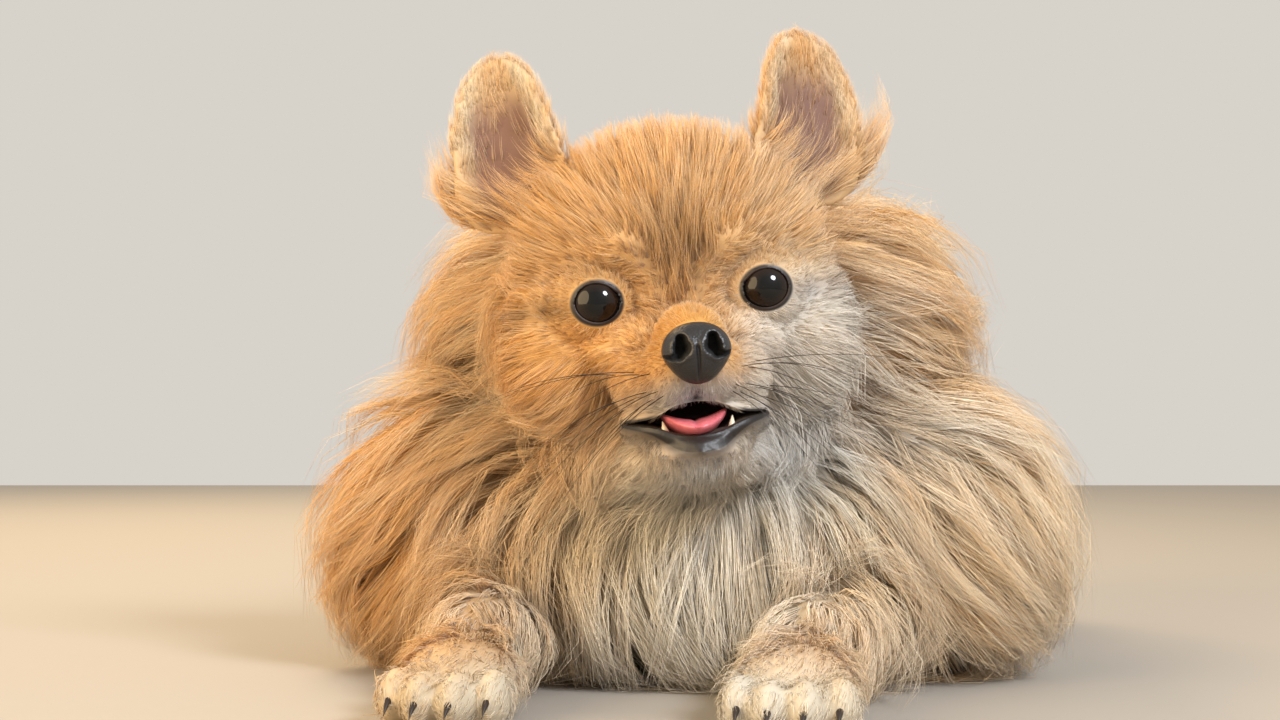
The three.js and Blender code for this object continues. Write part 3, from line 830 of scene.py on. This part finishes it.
# Rings of points round paths, as (tubes, rings, sides, 3): paths is (tubes, points, 3), radii (tubes, rings).
def ringsAround(paths, radii, sides, helper):
    rings = radii.shape[1]
    tangent = unit(np.gradient(paths, axis=1))[:, :rings]
    across = unit(np.cross(tangent, helper))
    up = np.cross(tangent, across)
    turns = (np.arange(sides) * 2 * math.pi / sides)[:, None]
    around = np.cos(turns) * across[:, :, None, :] + np.sin(turns) * up[:, :, None, :]
    return paths[:, :rings, None, :] + radii[:, :, None, None] * around


def addPiece(name, mesh, material):
    mesh.polygons.foreach_set("use_smooth", np.ones(len(mesh.polygons), bool))
    mesh.materials.append(material)
    piece = bpy.data.objects.new(name, mesh)
    bpy.context.scene.collection.objects.link(piece)
    return piece


patchSize = 0.003  # of the unwrap, round each hair's root


# One mesh of closed three-sided tapering hairs.
def hairMesh(name, hairs, radius, uv, marks):
    count, points = hairs.shape[:2]
    rings = points - 1
    helper = unit(np.random.default_rng(count).normal(size=(count, 1, 3)))
    radii = np.linspace(1, 0.3, rings)[None, :] * radius[:, None]
    radii[:, 0] *= 0.8
    corners = ringsAround(hairs, radii, 3, helper).reshape(count, rings * 3, 3)
    each = rings * 3 + 1
    faces, patch = [], []
    for ring in range(rings):
        low, high = ring / rings, (ring + 1) / rings
        for k in range(3):
            a, b = ring * 3 + k, ring * 3 + (k + 1) % 3
            left, right = 1 - k / 3, 1 - (k + 1) / 3
            if ring < rings - 1:
                faces.append((b, b + 3, a + 3, a))
                patch += [(right, low), (right, high), (left, high), (left, low)]
            else:
                faces.append((a, b, each - 1))
                patch += [(left, low), (right, low), ((left + right) / 2, high)]
    faces.append((2, 1, 0))
    patch += [(0.6, 0), (0.4, 0), (0.5, 0.1)]
    flat = np.array([corner for face in faces for corner in face])
    sizes = np.array([len(face) for face in faces])
    hair = np.arange(count)[:, None]
    mesh = bpy.data.meshes.new(name)
    mesh.vertices.add(count * each)
    mesh.vertices.foreach_set("co", np.concatenate([corners, hairs[:, -1:]], 1).astype(np.float32).ravel())
    mesh.loops.add(count * len(flat))
    mesh.loops.foreach_set("vertex_index", (hair * each + flat).ravel().astype(np.int32))
    mesh.polygons.add(count * len(faces))
    starts = hair * len(flat) + np.cumsum(sizes) - sizes
    mesh.polygons.foreach_set("loop_start", starts.ravel().astype(np.int32))
    mesh.update(calc_edges=True)
    spots = np.clip(uv, 0.002, 0.998)[:, None, :] + (np.array(patch) - 0.5) * patchSize
    mesh.uv_layers.new(name="OFBake").data.foreach_set("uv", spots.astype(np.float32).ravel())
    setColours(mesh, "markingsAndPaintedLight", marks.reshape(-1, 4))
    return addPiece(name, mesh, fur)


# Black hairs just under the lower lip and thinly over the upper one.
def lipHair(points):
    x, y, z = toFrame("head", points).T
    upper, lower, band = mouthLines(x)
    under = smoothStep(band - 4.6, band - 0.8, z) * (z < lower)
    over = 0.5 * smoothStep(upper + 2.0, upper + 0.6, z) * (z > lower)
    return np.maximum(under, over) * smoothStep(26, 20, np.abs(x)) * (y < 6)


# density and guides are counts to a square millimetre, points are those along a hair, and short is the share
# of its guide that the shortest hair reaches. clump and drawing draw a lock together.
plainCoat = {"points": 4, "short": 0.6, "drawing": 1.2, "sway": 0.16, "waves": 0.5, "wavy": 0.0, "pieces": 1}
coats = {
    "faceCoat": {"zones": ("muzzle", "face"), "density": 2.3, "guides": 0.35, "points": 3, "radius": 0.12,
                 "clump": 0.15, "stray": 0.05, "pieces": 2, "seed": 21},
    "earCoat": {"zones": ("ear",), "density": 2.3, "guides": 0.2, "points": 3, "radius": 0.1, "short": 0.55,
                "clump": 0.1, "sway": 0.3, "stray": 0.1, "seed": 28},
    "pawCoat": {"zones": ("paw",), "density": 0.75, "guides": 0.12, "points": 3, "radius": 0.17, "clump": 0.2,
                "stray": 0.06, "seed": 26},
    "headCoat": {"zones": ("head",), "density": 1.15, "guides": 0.14, "radius": 0.11, "clump": 0.24,
                 "sway": 0.14, "stray": 0.035, "waves": 0.7, "wavy": 0.02, "pieces": 2, "seed": 22},
    "legCoat": {"zones": ("leg",), "density": 0.5, "guides": 0.04, "radius": 0.22, "short": 0.55,
                "clump": 0.35, "sway": 0.2, "stray": 0.03, "waves": 0.7, "wavy": 0.03, "seed": 27},
    "ruffCoat": {"zones": ("ruff",), "density": 0.58, "guides": 0.03, "radius": 0.17, "short": 0.42,
                 "clump": 0.45, "drawing": 1.0, "sway": 0.32, "stray": 0.045, "waves": 1.0, "wavy": 0.03,
                 "pieces": 3, "seed": 23},
    "backCoat": {"zones": ("back",), "density": 0.1, "guides": 0.016, "radius": 0.42, "short": 0.5,
                 "clump": 0.55, "drawing": 1.1, "sway": 0.2, "stray": 0.05, "waves": 0.8, "wavy": 0.03,
                 "seed": 24},
    "tailCoat": {"zones": ("tail",), "density": 0.3, "guides": 0.016, "radius": 0.34, "short": 0.45,
                 "clump": 0.5, "drawing": 1.0, "sway": 0.3, "stray": 0.07, "waves": 1.0, "wavy": 0.035,
                 "seed": 25},
}
coatPieces = []


def growCoat(name, look):
    picker = np.random.default_rng(look["seed"])
    share = sum(triangleGroom[zone] for zone in look["zones"])

    def grow(density, seed):
        roots, normals, uv = scatter(density * share, seed)
        keep = hairy(roots) & ~((roots[:, 2] < 12 * mm) & (normals[:, 2] < -0.7))  # none where it lies
        return roots[keep], normals[keep], uv[keep]

    guideRoots, guideNormals, guideUv = grow(look["guides"], look["seed"] + 100)
    guides = growGuides(guideRoots, guideNormals, look["sway"], picker)
    roots, normals, uv = grow(look["density"], look["seed"] + 200)
    hairs, lock = growHairs(roots, normals, guides, guideRoots, look, picker)
    radius = look["radius"] * mm * picker.uniform(0.7, 1.3, len(roots))
    spots = np.concatenate([np.repeat(hairs[:, :-1], 3, axis=1), hairs[:, -1:]], 1)
    marks = markingsAndPaintedLight(spots.reshape(-1, 3)).reshape(spots.shape)
    marks = 0.5 * marks + 0.5 * markingsAndPaintedLight(roots)[:, None, :]
    tint = picker.normal(0, 0.1, len(roots)) + picker.normal(0, 0.1, len(guides))[lock]
    marks[:, :, 0] = np.clip(marks[:, :, 0] + tint[:, None], 0, 1)
    height = np.append(np.repeat(np.linspace(0, 1, look["points"])[:-1], 3), 1)
    bright = picker.normal(1.0, 0.08, len(roots)) * picker.normal(1.0, 0.06, len(guides))[lock]
    # hairs darken towards the root, painted shade deep in the coat, and are black under the lip
    bright = bright[:, None] * (0.87 + 0.22 * height) * (1 - 0.8 * lipHair(roots))[:, None]
    rgba = np.concatenate([marks, np.clip(bright, 0.3, 1.35)[:, :, None]], 2)
    order = picker.permutation(len(roots))
    for number, part in enumerate(np.array_split(order, look["pieces"])):
        coatPieces.append(hairMesh(f"{name}{number + 1}", hairs[part], radius[part], uv[part], rgba[part]))
    perHair = 6 * (look["points"] - 2) + 4
    print(f"{name}: {len(guideRoots)} guides, {len(roots)} hairs, {len(roots) * perHair} triangles")


for coatName, coatLook in coats.items():
    growCoat(coatName, {**plainCoat, **coatLook})
    report(coatName)


# Closed tubes along paths of equal length: paths is (tubes, points, 3) and radii (tubes, points), in metres.
def tubes(name, paths, radii, sides, material):
    paths, radii = np.array(paths), np.array(radii)
    count, points = radii.shape
    corners = ringsAround(paths, radii, sides, (0.31, 0.52, 0.79))
    faces = []
    for first in range(0, count * points * sides, points * sides):
        last = first + (points - 1) * sides
        for ring in range(first, last, sides):
            for k in range(sides):
                a, b = ring + k, ring + (k + 1) % sides
                faces.append((a, b, b + sides, a + sides))
        faces.append(tuple(reversed(range(first, first + sides))))
        faces.append(tuple(range(last, last + sides)))
    mesh = bpy.data.meshes.new(name)
    mesh.from_pydata(corners.reshape(-1, 3).tolist(), [], faces)
    return addPiece(name, mesh, material)


# Names and finishes a primitive whose vertices are moved to places in the head's frame.
def finishPiece(piece, name, places, material):
    setPlaces(piece.data, fromFrame("head", places))
    bpy.ops.object.shade_smooth()
    piece.data.materials.append(material)
    piece.name = piece.data.name = name
    return piece


def setValues(piece, name, values):
    piece.data.attributes.new(name, "FLOAT", "POINT").data.foreach_set("value", values.astype(np.float32))


# Eye: a dark iris under a clear wet cornea, so it mirrors the lights sharply. Its colours run from the
# pupil's middle to the edge of the white, and ringAt is the distance from there in millimetres.
def makeEyeMaterial():
    material = newMaterial("eye", Roughness=0.5, Specular_IOR_Level=0.05, Coat_Weight=0.85,
                           Coat_Roughness=0.02, Coat_IOR=1.4)
    ring = addNode(material, "ShaderNodeAttribute", {"attribute_name": "ringAt"})
    scaled = addNode(material, "ShaderNodeMath", {"operation": "DIVIDE"}, _0=ring.outputs["Fac"], _1=10.0)
    ramp = addNode(material, "ShaderNodeValToRGB", None, Fac=scaled.outputs[0])
    bands = ((0.0, "#010101"), (0.29, "#010101"), (0.34, "#0d0704"), (0.5, "#1b0f08"), (0.6, "#0f0805"),
             (0.66, "#080504"), (0.76, "#3a2c26"))
    stops = ramp.color_ramp.elements
    while len(stops) < len(bands):
        stops.new(0.5)
    for stop, (where, tone) in zip(stops, bands):
        stop.position = where
    for stop, (where, tone) in zip(stops, bands):
        stop.color = colour(tone)
    setShader(material, Base_Color=ramp.outputs["Color"])
    return material


# The pole of each ball looks out of the pupil.
def makeEye(side, name, material):
    bpy.ops.mesh.primitive_uv_sphere_add(segments=64, ring_count=48, radius=1)
    eye = bpy.context.object
    local = vertexPlaces(eye.data)
    angle = np.degrees(np.arccos(np.clip(local[:, 2], -1, 1)))
    radius = eyeSettings["radius"] + eyeSettings["bulge"] * smoothStep(52, 30, angle)
    setValues(eye, "ringAt", radius * np.sin(np.radians(angle)) + np.where(angle > 90, 20, 0))
    yaw, pitch = eyeSettings["gaze"]
    turn = np.array(rotation(0, 0, side * yaw) @ rotation(90 + pitch, 0, 0))
    q = local * radius[:, None] @ turn.T + (side * eyeSettings["spacing"] / 2, eyeSettings["back"], 0)
    return finishPiece(eye, name, q, material)


# hole is near black, painted shade deep in the nostrils
leatherColours = {"pad": "#201f21", "hole": "#030303", "rim": "#2a1c16"}


# Leather: bare skin in small cells, whose edges break up its shine.
def makeLeather(name, tone, cell, roughness, depth):
    material = newMaterial(name, Base_Color=colour(tone), Roughness=roughness)
    where = addNode(material, "ShaderNodeTexCoord")
    cells = addNode(material, "ShaderNodeTexVoronoi", {"feature": "F1"}, Vector=where.outputs["Object"],
                    Scale=1 / (cell * mm))
    bump = addNode(material, "ShaderNodeBump", {"invert": True}, Height=cells.outputs["Distance"],
                   Strength=0.6, Distance=depth * mm)
    setShader(material, Normal=bump.outputs[0])
    return material


# The nose is damp, with cells of half a millimetre, and matt inside its nostrils, which are painted near black
# as shade in their depth.
def makeNoseLeather():
    material = makeLeather("nose leather", leatherColours["pad"], 0.55, 0.36, 0.16)
    hole = addNode(material, "ShaderNodeAttribute", {"attribute_name": "hole"})
    tone = addNode(material, "ShaderNodeMix", mixing, _0=hole.outputs["Fac"], _6=colour(leatherColours["pad"]),
                   _7=colour(leatherColours["hole"]))
    dull = addNode(material, "ShaderNodeMapRange", None, Value=hole.outputs["Fac"], To_Min=0.36, To_Max=0.95)
    setShader(material, Base_Color=tone.outputs[2], Roughness=dull.outputs[0])
    return material


# Lid rims follow the eye's opening over the ball, with a small dark inner corner.
def makeLidRims():
    wide, high = eyeSettings["opening"]
    paths, radii = [], []
    turns = np.linspace(0, 2 * math.pi, 49)
    inner = smoothStep(0.75, 1.0, -np.cos(turns))
    for side in (1, -1):
        x = (wide + 0.1) * np.cos(turns) - 1.6 * inner
        z = (high + 0.1) * np.sin(turns) + 0.3 * np.cos(turns) - 0.6 * inner
        reach = eyeSettings["radius"] + eyeSettings["bulge"]
        y = -np.sqrt(np.maximum(reach ** 2 - x ** 2 - z ** 2, 4)) - 0.15 * inner
        q = np.stack([side * (x + eyeSettings["spacing"] / 2), y + eyeSettings["back"], z], 1)
        paths.append(fromFrame("head", q))
        radii.append((eyeSettings["rim"] + 0.25 * inner) * mm)
    leather = makeLeather("lid leather", leatherColours["rim"], 0.4, 0.45, 0.05)
    return tubes("lidRims", paths, radii, 10, leather)


eyeMaterial = makeEyeMaterial()
eyes = {"eye_left": makeEye(1, "eyeLeft", eyeMaterial), "eye_right": makeEye(-1, "eyeRight", eyeMaterial)}
lidRims = makeLidRims()
report("eyes")

# Each row of the nostril's path is a place across and up the pad, a radius and a depth.
nostrilSettings = {"path": ((4.3, 3.3, 1.5, 3.6), (4.3, 1.2, 2.2, 4.4), (5.2, -0.7, 1.5, 3.2),
                            (7.0, -1.4, 0.8, 1.6), (8.9, -0.8, 0.45, 0.8)), "groove": 0.8, "rim": 0.3}


def makeNose():
    bpy.ops.mesh.primitive_ico_sphere_add(subdivisions=7, radius=1)
    nose = bpy.context.object
    x, y, z = vertexPlaces(nose.data).T
    u = 9.5 * np.sign(x) * np.abs(x) ** 0.92 * (1 - 0.2 * smoothStep(0.1, -1.0, z))
    w = np.where(z > 0, 7.8, 9.0) * z
    v = 7.2 * np.sign(y) * np.abs(y) ** 0.75 - 0.8 * smoothStep(0.2, 1, z) * (y < 0) * y
    v += 1.6 * smoothStep(0, -1, z) * (y < 0)
    front = smoothStep(0.1, -0.35, y)
    across = np.abs(u)
    ratio = np.full(len(u), 99.0)
    depth = np.zeros(len(u))
    for (u0, w0, r0, d0), (u1, w1, r1, d1) in zip(nostrilSettings["path"], nostrilSettings["path"][1:]):
        du, dw = u1 - u0, w1 - w0
        t = np.clip(((across - u0) * du + (w - w0) * dw) / (du ** 2 + dw ** 2), 0, 1)
        reach = np.hypot(across - u0 - t * du, w - w0 - t * dw) / (r0 + t * (r1 - r0))
        depth = np.where(reach < ratio, d0 + t * (d1 - d0), depth)
        ratio = np.minimum(reach, ratio)
    v += front * (1.3 * depth * smoothStep(1.2, 0.5, ratio) - nostrilSettings["rim"] * bell(ratio, 1.5, 0.3))
    v += front * nostrilSettings["groove"] * bell(u, 0, 0.5) * smoothStep(2.2, 0.8, w)
    # the nostrils' depth, painted near black as shade and made matt
    setValues(nose, "hole", front * smoothStep(1.2, 0.8, ratio))
    return finishPiece(nose, "nose", np.stack([u, v, w], 1) + noseSettings["at"], makeNoseLeather())


nose = makeNose()
report("nose")

tongueSettings = {"at": (-0.6, -11.5, -35.4), "size": (9.4, 15, 2.7), "hollow": 4.4, "groove": 0.5,
                  "turn": -4}


# Tongue: wet flesh with fine papillae, so that light spreads in it and its shine is broken.
def makeTongue():
    bpy.ops.mesh.primitive_ico_sphere_add(subdivisions=6, radius=1)
    tongue = bpy.context.object
    x, y, z = vertexPlaces(tongue.data).T
    wide, long, thick = tongueSettings["size"]
    q = np.stack([wide * x, long * y, thick * z + tongueSettings["hollow"] * (x ** 2 - 0.5)
                  - tongueSettings["groove"] * bell(x, 0, 0.1) * (z > 0)], 1)
    q = q @ np.array(rotation(tongueSettings["turn"], 0, 0)).T + tongueSettings["at"]
    material = newMaterial("tongue", Roughness=0.32, Subsurface_Weight=0.15,
                           Subsurface_Radius=(0.004, 0.0015, 0.001))
    where = addNode(material, "ShaderNodeTexCoord")
    grain = addNode(material, "ShaderNodeTexNoise", None, Vector=where.outputs["Object"], Scale=700.0,
                    Detail=4.0)
    tones = addNode(material, "ShaderNodeMix", mixing, _0=grain.outputs[0], _6=colour("#b9505c"),
                    _7=colour("#d67b85"))
    bump = addNode(material, "ShaderNodeBump", None, Height=grain.outputs[0], Strength=0.4, Distance=0.0003)
    setShader(material, Base_Color=tones.outputs[2], Normal=bump.outputs[0])
    return finishPiece(tongue, "tongue", q, material)


teethSettings = {"canineAt": 8.9, "canineHeight": 7.6, "canineRadius": 1.6, "gumSize": (9.6, 10),
                 "gumAt": -12.4, "gumUp": -41.6, "gumRadius": 1.5,
                 "incisors": (-4.0, -2.4, -0.8, 0.8, 2.4, 4.0), "incisorHeight": 2.7, "incisorRadius": 0.82}


# The gum's arch, as a distance behind the muzzle's front for each distance from the middle.
def gumArch(x):
    wide, long = teethSettings["gumSize"]
    return teethSettings["gumAt"] - long * math.sqrt(1 - (x / wide) ** 2)


def makeTeeth():
    # enamel is hard and faintly yellow under a clear gloss, and gum is wet dark flesh
    enamel = newMaterial("tooth enamel", Base_Color=colour("#efe3c8"), Roughness=0.25, Coat_Weight=0.5)
    gum = newMaterial("gum", Base_Color=colour("#6e3038"), Roughness=0.3)
    paths, radii = [], []
    rise = np.linspace(0, 1, 9)
    gumUp = teethSettings["gumUp"]
    for x in teethSettings["incisors"]:
        up = gumUp + teethSettings["incisorHeight"] * rise
        paths.append(np.stack([x + 0 * rise, gumArch(x) - 0.3 * rise, up], 1))
        radii.append(teethSettings["incisorRadius"] * np.sqrt(np.maximum(1 - rise ** 4, 0.02)))
    for side in (1, -1):
        x = side * (teethSettings["canineAt"] + 0.9 * rise ** 1.5)
        up = gumUp - 0.5 + teethSettings["canineHeight"] * rise
        paths.append(np.stack([x, gumArch(teethSettings["canineAt"] - 1.2) + 1.1 * rise ** 2, up], 1))
        radii.append(teethSettings["canineRadius"] * np.maximum(1 - rise ** 2.4, 0.1))
    crowns = tubes("teeth", fromFrame("head", paths), np.array(radii) * mm, 14, enamel)
    turns = np.radians(np.linspace(195, 345, 31))
    wide, long = teethSettings["gumSize"]
    back = long * np.sin(turns) + teethSettings["gumAt"]
    arch = fromFrame("head", np.stack([wide * np.cos(turns), back, 0 * turns + gumUp], 1))
    gums = tubes("gums", [arch], np.full((1, 31), teethSettings["gumRadius"] * mm), 12, gum)
    return join("teeth", crowns, gums)


tongue = makeTongue()
teeth = makeTeeth()
report("mouth")

clawSettings = {"length": 9, "radius": 1.45, "droop": 24, "arch": 1.3}
clawNodes = [f"claw_{foot}_{hand}_{number}" for foot in ("fore", "hind") for hand in ("left", "right")
             for number in (1, 2, 3, 4)]


# Claw horn: dark keratin, worn smooth, with a soft shine.
def makeClaws():
    material = newMaterial("claw horn", Base_Color=colour("#2b221c"), Roughness=0.34)
    along = np.linspace(0, 1, 12)
    droop = math.radians(clawSettings["droop"])
    way = np.array((0, -math.cos(droop), -math.sin(droop))) * clawSettings["length"]
    paths = []
    for node in clawNodes:
        q = toFrame("body", np.array(boxMiddle(node))) - way / 2 + along[:, None] * way
        q[:, 2] += clawSettings["arch"] * np.sin(along * math.pi) - 0.2 * along
        paths.append(fromFrame("body", q))
    radii = clawSettings["radius"] * np.maximum(1 - along ** 1.6, 0.07) * mm
    return tubes("claws", paths, [radii] * len(paths), 12, material)


claws = makeClaws()

whiskerSettings = {"rows": 3, "columns": 4, "radius": 0.13, "length": (40, 64)}


# Whisker: a dark stiff keratin bristle with a thin line of shine.
def makeWhiskers():
    picker = np.random.default_rng(31)
    material = newMaterial("whisker", Base_Color=colour("#1d130d"), Roughness=0.4)
    along = np.linspace(0, 1, 14)[:, None]
    paths = []
    for side in (1, -1):
        for row in range(whiskerSettings["rows"]):
            for column in range(whiskerSettings["columns"]):
                root = np.array((side * (9.5 + 2.4 * column), -24 + 4.6 * column,
                                 -21 - 3.4 * row - 0.5 * column))
                root = toFrame("head", nearestOnSkin(fromFrame("head", root[None]))[0])[0]
                reach = picker.uniform(*whiskerSettings["length"]) * (0.72 + 0.1 * column)
                way = unit(np.array((side * picker.uniform(0.8, 1.0), -0.42 + 0.1 * column,
                                     picker.uniform(-0.15, 0.25) - 0.3 * row)))
                bend = np.array((side * 0.05, 0.4, picker.uniform(-0.9, -0.3)))
                paths.append(fromFrame("head", root + way * reach * along + bend * reach * along ** 2 * 0.75))
    radii = whiskerSettings["radius"] * (1 - 0.85 * along[:, 0]) * mm
    return tubes("whiskers", paths, [radii] * len(paths), 5, material)


whiskers = makeWhiskers()
report("claws and whiskers")

roomSettings = {"floor": "#a39c92", "floorSize": 3.0, "world": "#d9d4cc", "worldStrength": 0.98}


# Floor: matt paint, so that it shows soft shadows and no gloss.
def makeRoom():
    bpy.ops.mesh.primitive_plane_add(size=roomSettings["floorSize"])
    floor = bpy.context.object
    floor.name = "floor"
    paint = newMaterial("pale floor", Base_Color=colour(roomSettings["floor"]), Roughness=0.8)
    floor.data.materials.append(paint)
    floor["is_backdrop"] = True
    world = bpy.data.worlds.new("pale room")
    bpy.context.scene.world = world
    world.use_nodes = True
    background = world.node_tree.nodes["Background"]
    background.inputs["Color"].default_value = colour(roomSettings["world"])
    background.inputs["Strength"].default_value = roomSettings["worldStrength"]


def addLight(name, at, aim, power, size, tone):
    way = Vector(aim) - Vector(at)
    bpy.ops.object.light_add(type="AREA", location=at, rotation=way.to_track_quat("-Z", "Y").to_euler())
    light = bpy.context.object
    light.name = name
    light.data.energy = power
    light.data.shape = "DISK"
    light.data.size = size
    light.data.color = colour(tone)[:3]


makeRoom()
addLight("key", (0.7, -1.0, 0.9), (0, -0.05, 0.1), 24, 0.4, "#f0f4fb")
addLight("fill", (-1.2, -0.9, 0.5), (0, -0.05, 0.08), 32, 1.5, "#ffe0ae")
addLight("rim", (-0.5, 0.9, 1.0), (0, 0, 0.12), 16, 0.7, "#ffdfb0")
bpy.context.scene.view_settings.view_transform = "Standard"

flesh = ["head", "muzzle", "lower_jaw", "neck", "chest", "trunk", "loin", "rump", "tail_root", "tail_middle",
         "tail_tip"]
for limb in ("ear", "upper_arm", "forearm", "fore_paw", "thigh", "shank", "hind_paw"):
    flesh += [limb + "_left", limb + "_right"]
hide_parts(*flesh)
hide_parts("nose")
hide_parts("tongue")
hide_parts("teeth")
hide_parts(*clawNodes)
for node, eye in eyes.items():
    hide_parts(node)
slots = [(skin, "coat"), (nose, "nose leather"), (tongue, "tongue"), (teeth, "teeth"), (claws, "claws"),
         (lidRims, "nose leather"), (whiskers, "coat")]
slots += [(eye, "eyes") for eye in eyes.values()] + [(piece, "coat") for piece in coatPieces]
for piece, slot in slots:
    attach(piece, "root")

bpy.ops.object.select_all(action="DESELECT")
low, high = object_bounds()
size = {"cad": [list(side) for side in cadBox], "visual": [list(low), list(high)]}
report("finished")
